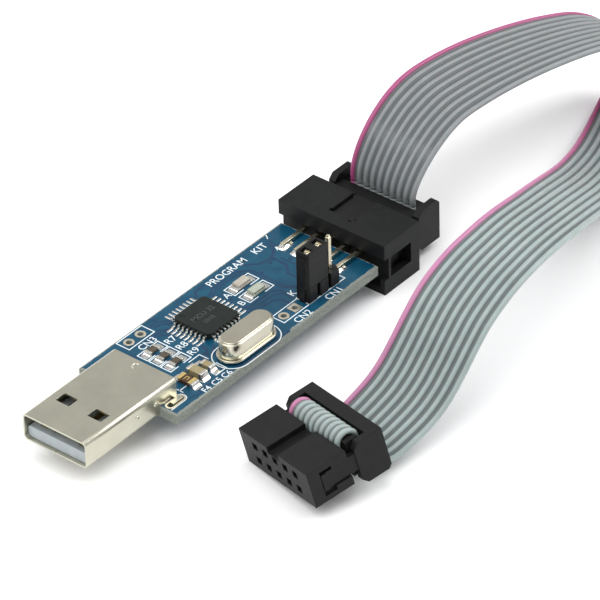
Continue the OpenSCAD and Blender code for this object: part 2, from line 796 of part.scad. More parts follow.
// Ten fork contacts: a box of thin sheet round each pin, and a fork that bites into the ribbon.
module socket_contacts() {
    sheet = 0.15;
    gap = pin_side / 2 + 0.03;
    for (i = [-2:2], s = [-1, 1]) translate([0, i * pitch, s * row_gap]) {
        for (t = [0, 1]) mirror([0, t, 0])
            block([0.8, gap, -0.3], [body_d - 0.55, gap + sheet, 0.3]);
        block([body_d - 0.7, -gap - sheet, -0.3], [body_d - 0.55, gap + sheet, 0.3]);
    }
}

// The ribbon inside a socket: up between body and cover, over the cover, down behind it.
module fold_profile(low_front, low_back) {
    translate([body_d, low_front]) square([ribbon_t, fold_top - low_front]);
    translate([slot_mid - ribbon_t / 2, low_back]) square([ribbon_t, fold_top - low_back]);
    intersection() {
        translate([fold_mid, fold_top]) difference() {
            circle(fold_r + ribbon_t / 2, $fn = 64);
            circle(fold_r - ribbon_t / 2, $fn = 64);
        }
        translate([0, fold_top]) square([20, 10]);
    }
}

module ribbon_strip() {
    translate([0, ribbon_w / 2, 0]) rotate([90, 0, 0]) linear_extrude(ribbon_w) children();
}

module plug_ribbon_fold() {
    color([0.6, 0.64, 0.64]) at_plug() ribbon_strip() fold_profile(-2.6, -socket_t / 2);
}

module target_ribbon_fold() {
    bend_x = slot_mid + under_bend;
    bend_z = target_exit[2] + under_bend;
    outer = under_bend + ribbon_t / 2;
    color([0.6, 0.64, 0.64]) at_target() ribbon_strip() {
        fold_profile(-2.6, bend_z);
        intersection() {
            translate([bend_x, bend_z]) difference() {
                circle(outer, $fn = 64);
                circle(under_bend - ribbon_t / 2, $fn = 64);
            }
            translate([bend_x - 5, bend_z - 5]) square(5);
        }
        translate([bend_x, target_exit[2] - ribbon_t / 2]) square([target_exit[0] - bend_x, ribbon_t]);
    }
}

module plug_socket_body() { color([0.16, 0.17, 0.16]) at_plug() socket_body(); }
module plug_socket_cover() { color([0.18, 0.19, 0.18]) at_plug() socket_cover(); }
module plug_socket_strain_relief() { color([0.18, 0.19, 0.18]) at_plug() socket_strain_relief(); }
module plug_socket_contacts() { color([0.8, 0.7, 0.4]) at_plug() socket_contacts(); }
module target_socket_body() { color([0.16, 0.17, 0.16]) at_target() socket_body(); }
module target_socket_cover() { color([0.18, 0.19, 0.18]) at_target() socket_cover(); }
module target_socket_strain_relief() { color([0.18, 0.19, 0.18]) at_target() socket_strain_relief(); }
module target_socket_contacts() { color([0.8, 0.7, 0.4]) at_target() socket_contacts(); }

// ---- Ribbon ----

ribbon_edge = 0.25;
ribbon_section = [
    [-ribbon_w / 2, -ribbon_t / 2 + ribbon_edge], [-ribbon_w / 2 + ribbon_edge, -ribbon_t / 2],
    [ribbon_w / 2 - ribbon_edge, -ribbon_t / 2], [ribbon_w / 2, -ribbon_t / 2 + ribbon_edge],
    [ribbon_w / 2, ribbon_t / 2 - ribbon_edge], [ribbon_w / 2 - ribbon_edge, ribbon_t / 2],
    [-ribbon_w / 2 + ribbon_edge, ribbon_t / 2], [-ribbon_w / 2, ribbon_t / 2 - ribbon_edge]
];

function heading(route, i) =
    unit(xyz(route[min(i + 1, len(route) - 1)]) - xyz(route[max(i - 1, 0)]));

// The ribbon's level side direction, square to its heading, then banked.
function level_side(t) = unit([0, 1, 0] - t * t[1]);
function banked_side(t, bank) = level_side(t) * cos(bank) + cross(t, level_side(t)) * sin(bank);

function ribbon_ring(route, i) =
    let (t = heading(route, i), side = banked_side(t, route[i][3]), face = cross(t, side))
    [for (p = ribbon_section) xyz(route[i]) + side * p[0] + face * p[1]];

module ribbon_cable() {
    sides = len(ribbon_section);
    rings = len(ribbon_route);
    corners = [for (i = [0:rings - 1]) each ribbon_ring(ribbon_route, i)];
    // two triangles for each side of each stretch, split the same way on both faces of the ribbon
    skin = [for (i = [0:rings - 2], k = [0:sides - 1])
        let (a = i * sides + k, b = i * sides + (k + 1) % sides)
        each k < sides / 2 ? [[b, a, a + sides], [b, a + sides, b + sides]]
                           : [[b, a, b + sides], [a, a + sides, b + sides]]];
    first = [for (k = [0:sides - 1]) k];
    last = [for (k = [0:sides - 1]) rings * sides - 1 - k];
    color([0.6, 0.64, 0.64]) polyhedron(points = corners, faces = concat([first], skin, [last]));
}

circuit_board();
spare_hole_rings();
usb_shell();
usb_tongue();
usb_contacts();
usb_solder();
microcontroller_body();
microcontroller_leads();
crystal_can();
crystal_flange();
crystal_leads();
red_led_body();
green_led_body();
led_terminals();
resistor_bodies();
resistor_terminals();
capacitor_bodies();
capacitor_terminals();
fuse_body();
fuse_terminals();
surface_solder();
jumper_header_base();
jumper_header_pins();
through_hole_solder();
jumper_cap();
jumper_contact();
box_header_shroud();
box_header_pins();
box_header_solder();
regulator_body();
regulator_leads();
zener_bodies();
zener_terminals();
lower_resistor_bodies();
lower_resistor_terminals();
lower_capacitor_bodies();
lower_capacitor_terminals();
plug_socket_body();
plug_socket_cover();
plug_socket_strain_relief();
plug_socket_contacts();
plug_ribbon_fold();
ribbon_cable();
target_ribbon_fold();
target_socket_body();
target_socket_cover();
target_socket_strain_relief();
target_socket_contacts();
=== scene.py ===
"""Looks of the usb microcontroller programmer: ribbon, print, pads, solder, materials and light."""
import math
import random

import bpy
import bmesh
from mathutils import Matrix, Vector


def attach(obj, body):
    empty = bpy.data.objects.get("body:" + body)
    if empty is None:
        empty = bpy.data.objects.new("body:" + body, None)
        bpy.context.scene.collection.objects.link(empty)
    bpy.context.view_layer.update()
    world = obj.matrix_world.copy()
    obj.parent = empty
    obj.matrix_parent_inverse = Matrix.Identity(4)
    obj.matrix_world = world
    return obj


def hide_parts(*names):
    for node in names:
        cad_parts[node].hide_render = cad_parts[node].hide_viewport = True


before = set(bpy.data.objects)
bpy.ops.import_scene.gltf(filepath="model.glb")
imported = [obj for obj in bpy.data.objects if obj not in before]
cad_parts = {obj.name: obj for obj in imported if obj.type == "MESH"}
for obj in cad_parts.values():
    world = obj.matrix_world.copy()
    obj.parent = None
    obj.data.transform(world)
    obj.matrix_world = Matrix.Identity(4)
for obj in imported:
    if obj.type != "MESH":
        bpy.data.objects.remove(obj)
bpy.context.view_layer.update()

# ---- Sizes and places, in millimetres ----
# Places on the board are measured along the stick from the plug's front, across from its middle
# line, and up from the board's top.

STICK_HALF = 35.1           # from the stick's middle to its plug's front
BOARD_Z = 5.25              # the board's top above the table
UNDER = -1.6                # the board's underside
MASK_X = (15.6, 61.75)      # the mask is held back from these two lines across the stick,
MASK_Y = (-9.3, 9.55)       # and from these two lines along it
PITCH = 2.54                # between the headers' pins

CHIP_AT = (35.6, 2.1)
CHIP_TOP = 1.1
CHIP_HALF = 3.5
LEAD_PITCH = 0.8
LEADS_A_SIDE = 8
CRYSTAL_X = (31.3, 37.7)    # middles of the round ends of the crystal's outline
CRYSTAL_Y = -6.4
RESISTOR_X = 25.2
RESISTOR_Y = (3.6, 1.38, -0.84)
LED_X = 45.65
LED_Y = (3.9, 1.05)
CAPACITOR_X = (24.75, 27.05)
FUSE_X = 22.6
FUSE_Y = -5.25
FUSE_TOP = 0.78
TAIL_X = 57.1               # solder on the tails of the box header's pins
SLOT_X = (17.0, 19.2)       # middles of the round ends of the slots for the shell's feet
SLOT_Y = 6.9
SLOT_R = 0.5
SQUARE_PAD = (45.94, -6.05)
JUMPER_X = 48.9
JUMPER_Y = -6
CAP_TOP = 8.6

WIRES = 10
RIBBON_PITCH = 1.27
WIRE_R = 0.45
WEB_HALF = 0.16             # half the thickness of the web between two wires
BODY_D = 6.8                # socket body, from its mating face
SOCKET_HALF_W = 8.65
SOCKET_HALF_H = 3
SLOT_MID = 10.45            # middle of the slot that the ribbon leaves a socket by
FOLD_R = 1.6
FOLD_MID = 8.85
FOLD_TOP = 1.9
FOLD_START = -2.6
FOLD_DOWN = 4.9             # how far the fold in the plug's socket runs down the slot
UNDER_BEND = 0.9
SOCKET_EXIT = (13.5, -3.35)
PLUG_AT = Vector((28.8, 0, 4.45))
TARGET_YAW, TARGET_TIP, TARGET_LEAN = (math.radians(a) for a in (-15, 10, 8))
TABLE_GAP = 0.02            # under the target socket's lowest corner
TARGET_AT = Vector((-18.9, -27.2, TABLE_GAP + math.cos(TARGET_TIP) * (
    SOCKET_HALF_W * math.sin(TARGET_LEAN) + SOCKET_HALF_H * math.cos(TARGET_LEAN))))
TARGET_TURN = (Matrix.Rotation(TARGET_YAW, 3, 'Z') @ Matrix.Rotation(-TARGET_TIP, 3, 'Y')
               @ Matrix.Rotation(-TARGET_LEAN, 3, 'X'))


def board(x, y, z=0.0):
    """A place on the board, in metres and in the frame of the whole part."""
    return Vector(((x - STICK_HALF) / 1000, y / 1000, (z + BOARD_Z) / 1000))


def metres(v):
    return Vector(v) / 1000


# ---- Camera ----

VIEW_SIDE = 600             # pixels
SENSOR = 36                 # millimetres
FOCAL = 4698.047            # pixels
CAMERA_AT = (-411.30979, -366.17086, 411.14033)

right = Vector((0.63358796, -0.77325946, -0.02522092)).normalized()
back = Vector((-0.61552516, -0.52355839, 0.58908013))
back = (back - right * back.dot(right)).normalized()
up = back.cross(right)
camera = bpy.data.objects.new("camera", bpy.data.cameras.new("camera"))
bpy.context.scene.collection.objects.link(camera)
turn = Matrix((right, up, back)).transposed().to_4x4()
camera.matrix_world = Matrix.Translation(metres(CAMERA_AT)) @ turn
camera.data.sensor_width = SENSOR
camera.data.lens = FOCAL / VIEW_SIDE * SENSOR
camera.data.clip_start = 0.05
camera.data.clip_end = 20
bpy.context.scene.camera = camera
bpy.context.scene.view_settings.view_transform = 'Standard'


# ---- Mesh helpers ----

def piece(name, bm, body, slot, *materials, smooth=False):
    """Makes an object of what is built in bm, which rides on one body."""
    mesh = bpy.data.meshes.new(name)
    bmesh.ops.recalc_face_normals(bm, faces=bm.faces)
    bm.to_mesh(mesh)
    bm.free()
    if smooth:
        mesh.shade_smooth()
    obj = bpy.data.objects.new(name, mesh)
    bpy.context.scene.collection.objects.link(obj)
    for m in materials:
        mesh.materials.append(m)
    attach(obj, body)
    return obj


def skin(bm, a, b, closed=True):
    """Faces between two rows of points, all the way round them or up to their last points."""
    n = len(a)
    for k in range(n if closed else n - 1):
        bm.faces.new((a[k], b[k], b[(k + 1) % n], a[(k + 1) % n]))


def cap_ends(bm, rows):
    bm.faces.new(rows[0])
    bm.faces.new(rows[-1][::-1])


def stroke(bm, points, width, z0, z1, closed=False):
    """A flat line of one width along points on the board, mitred at its corners."""
    pts = [Vector(p[:2]) for p in points]
    n = len(pts)
    rows = []
    for i, p in enumerate(pts):
        before = pts[(i - 1) % n] if closed or i else None
        after = pts[(i + 1) % n] if closed or i < n - 1 else None
        d1 = (p - before).normalized() if before is not None else None
        d2 = (after - p).normalized() if after is not None else None
        d1 = d1 or d2
        d2 = d2 or d1
        n1, n2 = Vector((-d1.y, d1.x)), Vector((-d2.y, d2.x))
        m = (n1 + n2).normalized()
        m *= width / 2 / max(m.dot(n1), 0.35)
        end = Vector((0, 0))
        if before is None:
            end = -d2 * width / 2
        if after is None:
            end = d1 * width / 2
        rows.append([bm.verts.new(board(*(p + end + m * s), z)) for s, z in
                     ((1, z0), (1, z1), (-1, z1), (-1, z0))])
    last = n if closed else n - 1
    for i in range(last):
        skin(bm, rows[i], rows[(i + 1) % n])
    if not closed:
        cap_ends(bm, rows)


def arc(cx, cy, r, a0, a1, steps=10):
    """Points along part of a circle, from angle a0 to a1 in degrees."""
    return [(cx + r * math.cos(math.radians(a0 + (a1 - a0) * i / steps)),
             cy + r * math.sin(math.radians(a0 + (a1 - a0) * i / steps)))
            for i in range(steps + 1)]


def dome(bm, cx, cy, lx, ly, high, z0=0.0, turn=0.0, steps=8, power=4, side=1):
    """A pad of solder: flat in the middle, rounded off towards its outline."""
    grid = []
    c, s = math.cos(turn), math.sin(turn)
    for i in range(steps + 1):
        row = []
        for j in range(steps + 1):
            u, v = 2 * i / steps - 1, 2 * j / steps - 1
            # crowd the rows of points towards the outline, and round the corners
            u, v = math.copysign(abs(u) ** 0.6, u), math.copysign(abs(v) ** 0.6, v)
            z = high * (1 - abs(u) ** power) * (1 - abs(v) ** power)
            pull = 1 - 0.08 * (u * v) ** 2
            x, y = u * lx / 2 * pull, v * ly / 2 * pull
            row.append(bm.verts.new(board(cx + x * c - y * s, cy + x * s + y * c, z0 + side * z)))
        grid.append(row)
    for a, b in zip(grid[:-1], grid[1:]):
        skin(bm, a, b, closed=False)


def ring(bm, cx, cy, r_in, r_out, z0, z1, square=False, steps=28):
    """A flat ring with a round hole, and a round or square outline."""
    rows = []
    for k in range(steps):
        a = 2 * math.pi * k / steps
        c, s = math.cos(a), math.sin(a)
        out = r_out / max(abs(c), abs(s)) if square else r_out
        rows.append([bm.verts.new(board(cx + r * c, cy + r * s, z)) for r, z in
                     ((r_in, z0), (r_in, z1), (out, z1), (out, z0))])
    for k in range(steps):
        skin(bm, rows[k], rows[(k + 1) % steps])


CAPITAL = 0.7               # a capital's height for a font size of 1
LETTER_HALF = 0.006         # half the thickness of a letter


def letters(bm, text, x, y, high, z=0.0, squeeze=1.0, flip=False):
    """Plain lettering laid on the board, its foot line starting at x, y and its middle at z."""
    curve = bpy.data.curves.new("letters", 'FONT')
    curve.body = text
    curve.size = high / CAPITAL
    curve.extrude = LETTER_HALF
    curve.offset = 0.003
    curve.resolution_u = 3
    holder = bpy.data.objects.new("letters", curve)
    mesh = bpy.data.meshes.new_from_object(holder)
    for v in mesh.vertices:
        px = v.co.x * squeeze
        v.co = board(x - px if flip else x + px, y + v.co.y, z + v.co.z)
    bm.from_mesh(mesh)
    bpy.data.meshes.remove(mesh)
    bpy.data.objects.remove(holder)
    bpy.data.curves.remove(curve)


# ---- Materials ----

def node_material(name):
    m = bpy.data.materials.new(name)
    m.use_nodes = True
    t = m.node_tree
    return m, t, t.nodes["Principled BSDF"]


def add(tree, kind, **values):
    """A new node: names with a capital set its sockets, the others its properties."""
    n = tree.nodes.new(kind)
    for k, v in values.items():
        if k[0].isupper():
            n.inputs[k.replace("_", " ")].default_value = v
        else:
            setattr(n, k, v)
    return n


def in_mm(tree):
    where = add(tree, "ShaderNodeTexCoord")
    scale = add(tree, "ShaderNodeVectorMath", operation='SCALE')
    tree.links.new(where.outputs["Object"], scale.inputs[0])
    scale.inputs["Scale"].default_value = 1000
    return scale.outputs["Vector"]


def grain(tree, place, scale, detail=3.0, rough=0.55):
    n = add(tree, "ShaderNodeTexNoise", Scale=scale, Detail=detail, Roughness=rough)
    tree.links.new(place, n.inputs["Vector"])
    return n.outputs["Fac"]


def blend_colour(tree, fac, a, b):
    """From a to b as fac goes from 0 to 1; each is a colour or another node's output."""
    n = add(tree, "ShaderNodeMix", data_type='RGBA')
    for i, v in ((6, a), (7, b)):
        if hasattr(v, "is_linked"):
            tree.links.new(v, n.inputs[i])
        else:
            n.inputs[i].default_value = (*v, 1)
    tree.links.new(fac, n.inputs[0])
    return n.outputs[2]


def spread(tree, fac, low, high, frm=(0.3, 0.7)):
    """Stretches the part of fac between frm's two limits to run from low to high."""
    n = add(tree, "ShaderNodeMapRange")
    n.inputs[1].default_value, n.inputs[2].default_value = frm
    n.inputs[3].default_value, n.inputs[4].default_value = low, high
    tree.links.new(fac, n.inputs[0])
    return n.outputs[0]


def bump(tree, shader, fac, strength, depth):
    n = add(tree, "ShaderNodeBump", Strength=strength, Distance=depth / 1000)
    tree.links.new(fac, n.inputs["Height"])
    tree.links.new(n.outputs["Normal"], shader.inputs["Normal"])


def surface(name, colour, other, rough, metal=0.0, patch=1.2, fine=9.0, depth=0.01,
            strength=0.5, clear=0.0, stretch=None, spec=0.5):
    """One colour that drifts towards another in patches, with fine grain in gloss and relief."""
    m, t, s = node_material(name)
    place = in_mm(t)
    if stretch:
        grown = add(t, "ShaderNodeVectorMath", operation='MULTIPLY')
        t.links.new(place, grown.inputs[0])
        grown.inputs[1].default_value = stretch
        fine_place = grown.outputs["Vector"]
    else:
        fine_place = place
    wide = grain(t, place, patch, 4)
    tight = grain(t, fine_place, fine, 3, 0.6)
    colour_out = blend_colour(t, spread(t, wide, 0, 1), colour, other)
    t.links.new(colour_out, s.inputs["Base Color"])
    t.links.new(spread(t, tight, rough[0], rough[1]), s.inputs["Roughness"])
    s.inputs["Metallic"].default_value = metal
    s.inputs["Specular IOR Level"].default_value = spec
    if clear:
        s.inputs["Transmission Weight"].default_value = clear
    bump(t, s, tight, strength, depth)
    return m


def board_material():
    """Blue mask over glass fibre, held back from the edge, with bare layered sides."""
    m, t, s = node_material("board_mask")
    place = in_mm(t)
    parts = add(t, "ShaderNodeSeparateXYZ")
    t.links.new(place, parts.inputs[0])
    wide = grain(t, place, 0.35, 4)
    tight = grain(t, place, 14, 3)
    blue = blend_colour(t, spread(t, wide, 0, 1, (0.35, 0.65)),
                        (0.003, 0.047, 0.093), (0.006, 0.068, 0.122))
    bare = blend_colour(t, spread(t, grain(t, place, 4, 4), 0, 1, (0.4, 0.62)),
                        (0.08, 0.10, 0.095), (0.31, 0.33, 0.28))

    def maths(op, a, b=None):
        n = add(t, "ShaderNodeMath", operation=op)
        for i, v in ((0, a), (1, b)):
            if v is None:
                continue
            if hasattr(v, "is_linked"):
                t.links.new(v, n.inputs[i])
            else:
                n.inputs[i].default_value = v
        return n.outputs[0]

    # distance in from the nearest of the lines that the mask is held back from
    x, y = parts.outputs[0], parts.outputs[1]
    in_x = maths('MINIMUM', maths('SUBTRACT', x, MASK_X[0] - STICK_HALF),
                 maths('SUBTRACT', MASK_X[1] - STICK_HALF, x))
    in_y = maths('MINIMUM', maths('ADD', y, -MASK_Y[0]), maths('SUBTRACT', MASK_Y[1], y))
    inset = maths('MINIMUM', in_x, in_y)
    wave = maths('MULTIPLY', maths('SUBTRACT', grain(t, place, 1.3, 4), 0.5), 0.45)
    wavy = maths('ADD', inset, wave)
    shape = add(t, "ShaderNodeNewGeometry")
    facing = add(t, "ShaderNodeSeparateXYZ")
    t.links.new(shape.outputs["True Normal"], facing.inputs[0])
    flat = maths('GREATER_THAN', maths('ABSOLUTE', facing.outputs[2]), 0.7)
    masked = maths('MULTIPLY', flat, spread(t, wavy, 0, 1, (0.38, 0.5)))
    layers = add(t, "ShaderNodeTexWave", wave_type='BANDS', bands_direction='Z',
                 Scale=2.2, Distortion=1.2)
    layers.inputs["Detail"].default_value = 2
    t.links.new(place, layers.inputs["Vector"])
    side = blend_colour(t, layers.outputs["Fac"], bare, (0.21, 0.225, 0.20))
    t.links.new(blend_colour(t, masked, side, blue), s.inputs["Base Color"])
    t.links.new(spread(t, masked, 0.62, 0.24, (0, 1)), s.inputs["Roughness"])
    s.inputs["Specular IOR Level"].default_value = 0.3
    bump(t, s, tight, 0.25, 0.01)
    return m


def ribbon_material(name, light, pale, groove_shade_colour):
    """Vinyl that is a little paler towards the target socket, with painted shade in the grooves
    between the wires.
    """
    m, t, s = node_material(name)
    place = in_mm(t)
    wide = grain(t, place, 0.5, 4)
    tight = grain(t, place, 11, 3)
    # painted shade: the grooves between the wires are darkened where shade falls in them
    cavity = add(t, "ShaderNodeNewGeometry")
    groove_shade_mask = spread(t, cavity.outputs["Pointiness"], 0, 1, (0.42, 0.53))
    parts = add(t, "ShaderNodeSeparateXYZ")
    t.links.new(place, parts.inputs[0])
    # the ribbon's colour drifts paler towards the target socket
    paler_towards_target = blend_colour(t, spread(t, parts.outputs[1], 1, 0, (-28, -6)), light, pale)
    worn = add(t, "ShaderNodeHueSaturation", Value=0.88)
    t.links.new(paler_towards_target, worn.inputs["Color"])
    tint = blend_colour(t, spread(t, wide, 0, 1), paler_towards_target, worn.outputs["Color"])
    t.links.new(blend_colour(t, groove_shade_mask, groove_shade_colour, tint), s.inputs["Base Color"])
    t.links.new(spread(t, tight, 0.34, 0.5), s.inputs["Roughness"])
    s.inputs["Subsurface Weight"].default_value = 0.12
    s.inputs["Subsurface Scale"].default_value = 0.0008
    s.inputs["Specular IOR Level"].default_value = 0.45
    bump(t, s, tight, 0.15, 0.01)
    return m


MASK = board_material()
TRACK = surface("mask_over_copper", (0.008, 0.033, 0.076), (0.010, 0.042, 0.094), (0.2, 0.3),
                patch=0.5, depth=0.006, spec=0.3)
WHITE = surface("white_print", (0.74, 0.79, 0.80), (0.60, 0.67, 0.70), (0.45, 0.6),
                patch=3, fine=16, depth=0.012)
SOLDER = surface("solder", (0.80, 0.80, 0.78), (0.55, 0.54, 0.50), (0.12, 0.3),
                 metal=1.0, patch=1.6, fine=2.2, depth=0.02, strength=0.35)
TIN = surface("matt_tin", (0.76, 0.75, 0.71), (0.52, 0.50, 0.44), (0.24, 0.42),
              metal=1.0, patch=2.2, fine=8, depth=0.02)
RING = surface("tinned_ring", (0.72, 0.68, 0.56), (0.52, 0.47, 0.36), (0.3, 0.45),
               metal=0.85, patch=2.5, fine=7, depth=0.02)
NICKEL = surface("nickel_sheet", (0.58, 0.565, 0.465), (0.50, 0.49, 0.40), (0.27, 0.36),
                 metal=1.0, patch=0.22, fine=5, depth=0.004, stretch=(0.25, 5, 5), strength=0.3)
CAN = surface("crystal_can", (0.60, 0.575, 0.47), (0.54, 0.515, 0.42), (0.17, 0.26),
              metal=1.0, patch=0.3, fine=9, depth=0.001, strength=0.12)
TONGUE = surface("pale_plastic", (0.40, 0.44, 0.46), (0.34, 0.38, 0.40), (0.35, 0.5),
                 patch=0.8, fine=12)
GOLD = surface("gold_plate", (0.86, 0.66, 0.30), (0.72, 0.52, 0.22), (0.2, 0.32),
               metal=1.0, patch=2, fine=9)
PIN = surface("pin_plate", (0.78, 0.72, 0.56), (0.62, 0.56, 0.40), (0.16, 0.3),
              metal=1.0, patch=1.4, fine=8)
CHIP = surface("moulded_epoxy", (0.012, 0.017, 0.0155), (0.009, 0.013, 0.012), (0.42, 0.56),
               patch=0.9, fine=14, depth=0.03, spec=0.2)
NYLON = surface("black_nylon", (0.006, 0.006, 0.006), (0.010, 0.010, 0.011), (0.36, 0.52),
                patch=1.1, fine=10, depth=0.03, spec=0.2)
SHROUD = surface("black_polyester", (0.004, 0.0045, 0.0045), (0.007, 0.0075, 0.0075),
                 (0.42, 0.58), patch=0.7, fine=9, depth=0.05, strength=0.6, spec=0.2)
SOCKET = surface("socket_polyester", (0.004, 0.0045, 0.004), (0.007, 0.0075, 0.007),
                 (0.4, 0.55), patch=0.6, fine=8, depth=0.05, strength=0.6, spec=0.2)
DARK_FILM = surface("resistor_film", (0.035, 0.028, 0.02), (0.09, 0.07, 0.045), (0.2, 0.4),
                    patch=2.8, fine=9)
TAN = surface("fired_ceramic", (0.30, 0.25, 0.13), (0.23, 0.19, 0.10), (0.4, 0.55),
              patch=2.2, fine=12)
FUSE = surface("fuse_epoxy", (0.075, 0.035, 0.015), (0.045, 0.02, 0.01), (0.15, 0.3),
               patch=2, fine=8)
RED_LENS = surface("pale_red_resin", (0.56, 0.53, 0.45), (0.43, 0.38, 0.32), (0.12, 0.25),
                   patch=1.5, fine=6, clear=0.25)
GREEN_LENS = surface("pale_green_resin", (0.52, 0.56, 0.46), (0.39, 0.43, 0.34), (0.12, 0.25),
                     patch=1.5, fine=6, clear=0.25)
GLASS = surface("amber_glass", (0.55, 0.20, 0.08), (0.42, 0.13, 0.05), (0.05, 0.14),
                patch=1.5, fine=5, clear=0.5)
# the last colour of each vinyl is painted shade for the grooves between its wires
GREY_VINYL = ribbon_material("grey_vinyl", (0.225, 0.240, 0.248), (0.31, 0.375, 0.365),
                             (0.05, 0.06, 0.062))
PINK_VINYL = ribbon_material("pink_vinyl", (0.36, 0.07, 0.19), (0.48, 0.20, 0.35),
                             (0.12, 0.025, 0.06))
CHIP_MARK = surface("laser_mark", (0.052, 0.054, 0.052), (0.042, 0.044, 0.042), (0.5, 0.65),
                    patch=3, fine=14)
GOLD_MARK = surface("gold_mark", (0.62, 0.47, 0.17), (0.5, 0.36, 0.12), (0.3, 0.45),
                    metal=0.5, patch=3, fine=12)

# material of each solid, and how far its edges are rounded off, in millimetres
NODE_LOOKS = {
    "circuit_board": (MASK, 0.05),
    "spare_hole_rings": (RING, 0.02),
    "usb_shell": (NICKEL, 0.06),
    "usb_tongue": (TONGUE, 0.08),
    "usb_contacts": (GOLD, 0.03),
    "usb_solder": (SOLDER, 0.05),
    "microcontroller_body": (CHIP, 0.07),
    "microcontroller_leads": (TIN, 0.03),
    "crystal_can": (CAN, 0.16),
    "crystal_flange": (CAN, 0.12),
    "crystal_leads": (TIN, 0.03),
    "red_led_body": (RED_LENS, 0.12),
    "green_led_body": (GREEN_LENS, 0.12),
    "led_terminals": (TIN, 0.04),
    "resistor_bodies": (DARK_FILM, 0.05),
    "resistor_terminals": (TIN, 0.06),
    "capacitor_bodies": (TAN, 0.08),
    "capacitor_terminals": (TIN, 0.08),
    "fuse_body": (FUSE, 0.06),
    "fuse_terminals": (TIN, 0.05),
    "surface_solder": (SOLDER, 0.05),
    "jumper_header_base": (NYLON, 0.08),
    "jumper_header_pins": (PIN, 0.08),
    "through_hole_solder": (SOLDER, 0.06),
    "jumper_cap": (NYLON, 0.12),
    "jumper_contact": (PIN, 0.04),
    "box_header_shroud": (SHROUD, 0.12),
    "box_header_pins": (PIN, 0.08),
    "box_header_solder": (SOLDER, 0.1),
    "regulator_body": (CHIP, 0.06),
    "regulator_leads": (TIN, 0.03),
    "zener_bodies": (GLASS, 0.06),
    "zener_terminals": (TIN, 0.05),
    "lower_resistor_bodies": (DARK_FILM, 0.04),
    "lower_resistor_terminals": (TIN, 0.04),
    "lower_capacitor_bodies": (TAN, 0.06),
    "lower_capacitor_terminals": (TIN, 0.05),
    "plug_socket_body": (SOCKET, 0.12),
    "plug_socket_cover": (SOCKET, 0.1),
    "plug_socket_strain_relief": (SOCKET, 0.14),
    "plug_socket_contacts": (GOLD, 0.03),
    "target_socket_body": (SOCKET, 0.12),
    "target_socket_cover": (SOCKET, 0.1),
    "target_socket_strain_relief": (SOCKET, 0.14),
    "target_socket_contacts": (GOLD, 0.03),
}

for node_name, (look, edge) in NODE_LOOKS.items():
    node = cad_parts[node_name]
    node.data.materials.clear()
    node.data.materials.append(look)
    weld = node.modifiers.new("weld", 'WELD')
    weld.merge_threshold = 2e-6
    flatten = node.modifiers.new("flatten", 'DECIMATE')
    flatten.decimate_type = 'DISSOLVE'
    flatten.angle_limit = math.radians(1)
    round_off = node.modifiers.new("round_off", 'BEVEL')
    round_off.width = edge / 1000
    round_off.segments = 2
    round_off.limit_method = 'ANGLE'
    round_off.angle_limit = math.radians(35)
    round_off.harden_normals = True
    round_off.use_clamp_overlap = True


# ---- Ribbon and its two folds ----

# the ribbon's middle line from the plug's socket, and its bank in degrees
ROUTE = [
    (39.25, 0, 7.45, 0), (39.25, 0, 9, 0), (40, 0, 11, 3), (41.8, 0, 13.3, 7),
    (44.5, 0, 15.5, 11), (48, 0, 17.3, 14), (52, 0, 18.2, 15), (56.5, -0.3, 18.4, 15),
    (62, -0.9, 18.3, 13), (68, -1.9, 18, 10), (74, -3.2, 17.5, 7), (80, -4.7, 16.7, 4),
    (85.5, -6.2, 15.4, 2), (90, -7.5, 13, 0), (92.6, -8.6, 9.8, 0), (92.9, -9.5, 6.4, 0),
    (91, -10.5, 3.3, 0), (87.4, -11.5, 1.4, 0), (82.5, -13.4, 0.9, 0), (77, -15.8, 1.6, 0),
    (71, -18.4, 3.2, 0), (64.5, -21.2, 5.7, 0), (58, -23.9, 8.6, -1), (52, -26.2, 11.4, -2),
    (46, -28.3, 14, -3), (40, -30.1, 16.2, -4), (34.5, -31.4, 17.8, -6), (29.5, -32.3, 18.7, -8),
    (25, -32.8, 18.8, -10), (21, -33, 18.3, -13), (17.3, -33.1, 17.2, -16),
    (13.8, -33.1, 15.4, -18), (10.7, -33.1, 12.9, -19), (7.9, -33, 10.1, -19),
    (5, -32.9, 7.6, -18), (1.7, -32.6, 5.6, -15),
]


def at_target(x, y, z):
    """A place in the target socket's own frame."""
    return TARGET_AT + TARGET_TURN @ Vector((x, y, z))


def at_plug(x, y, z):
    """A place in the frame of the socket in the box header, which lies upside down."""
    return PLUG_AT + Vector((x, -y, -z))


def level_side(t):
    return (Vector((0, 1, 0)) - t * t.y).normalized()


def target_bank():
    t, side = TARGET_TURN @ Vector((1, 0, 0)), TARGET_TURN @ Vector((0, 1, 0))
    level = level_side(t)
    return math.degrees(math.atan2(side.dot(t.cross(level)), side.dot(level)))


for reach in (SOCKET_EXIT[0] + 2.5, SOCKET_EXIT[0]):
    ROUTE.append((*at_target(reach, 0, SOCKET_EXIT[1]), target_bank()))


def smooth_route(points, steps):
    """Catmull-Rom curve through the points, bank included."""
    pts = [Vector(p) for p in points]
    pts = [pts[0] * 2 - pts[1]] + pts + [pts[-1] * 2 - pts[-2]]
    out = []
    for i in range(1, len(pts) - 2):
        a, b, c, d = pts[i - 1:i + 3]
        for k in range(steps):
            u = k / steps
            out.append(0.5 * ((2 * b) + (c - a) * u + (2 * a - 5 * b + 4 * c - d) * u ** 2
                              + (3 * b - a - 3 * c + d) * u ** 3))
    out.append(pts[-2])
    return out


def along(places, i):
    """The direction of a line of places at one of them."""
    return (places[min(i + 1, len(places) - 1)] - places[max(i - 1, 0)]).normalized()


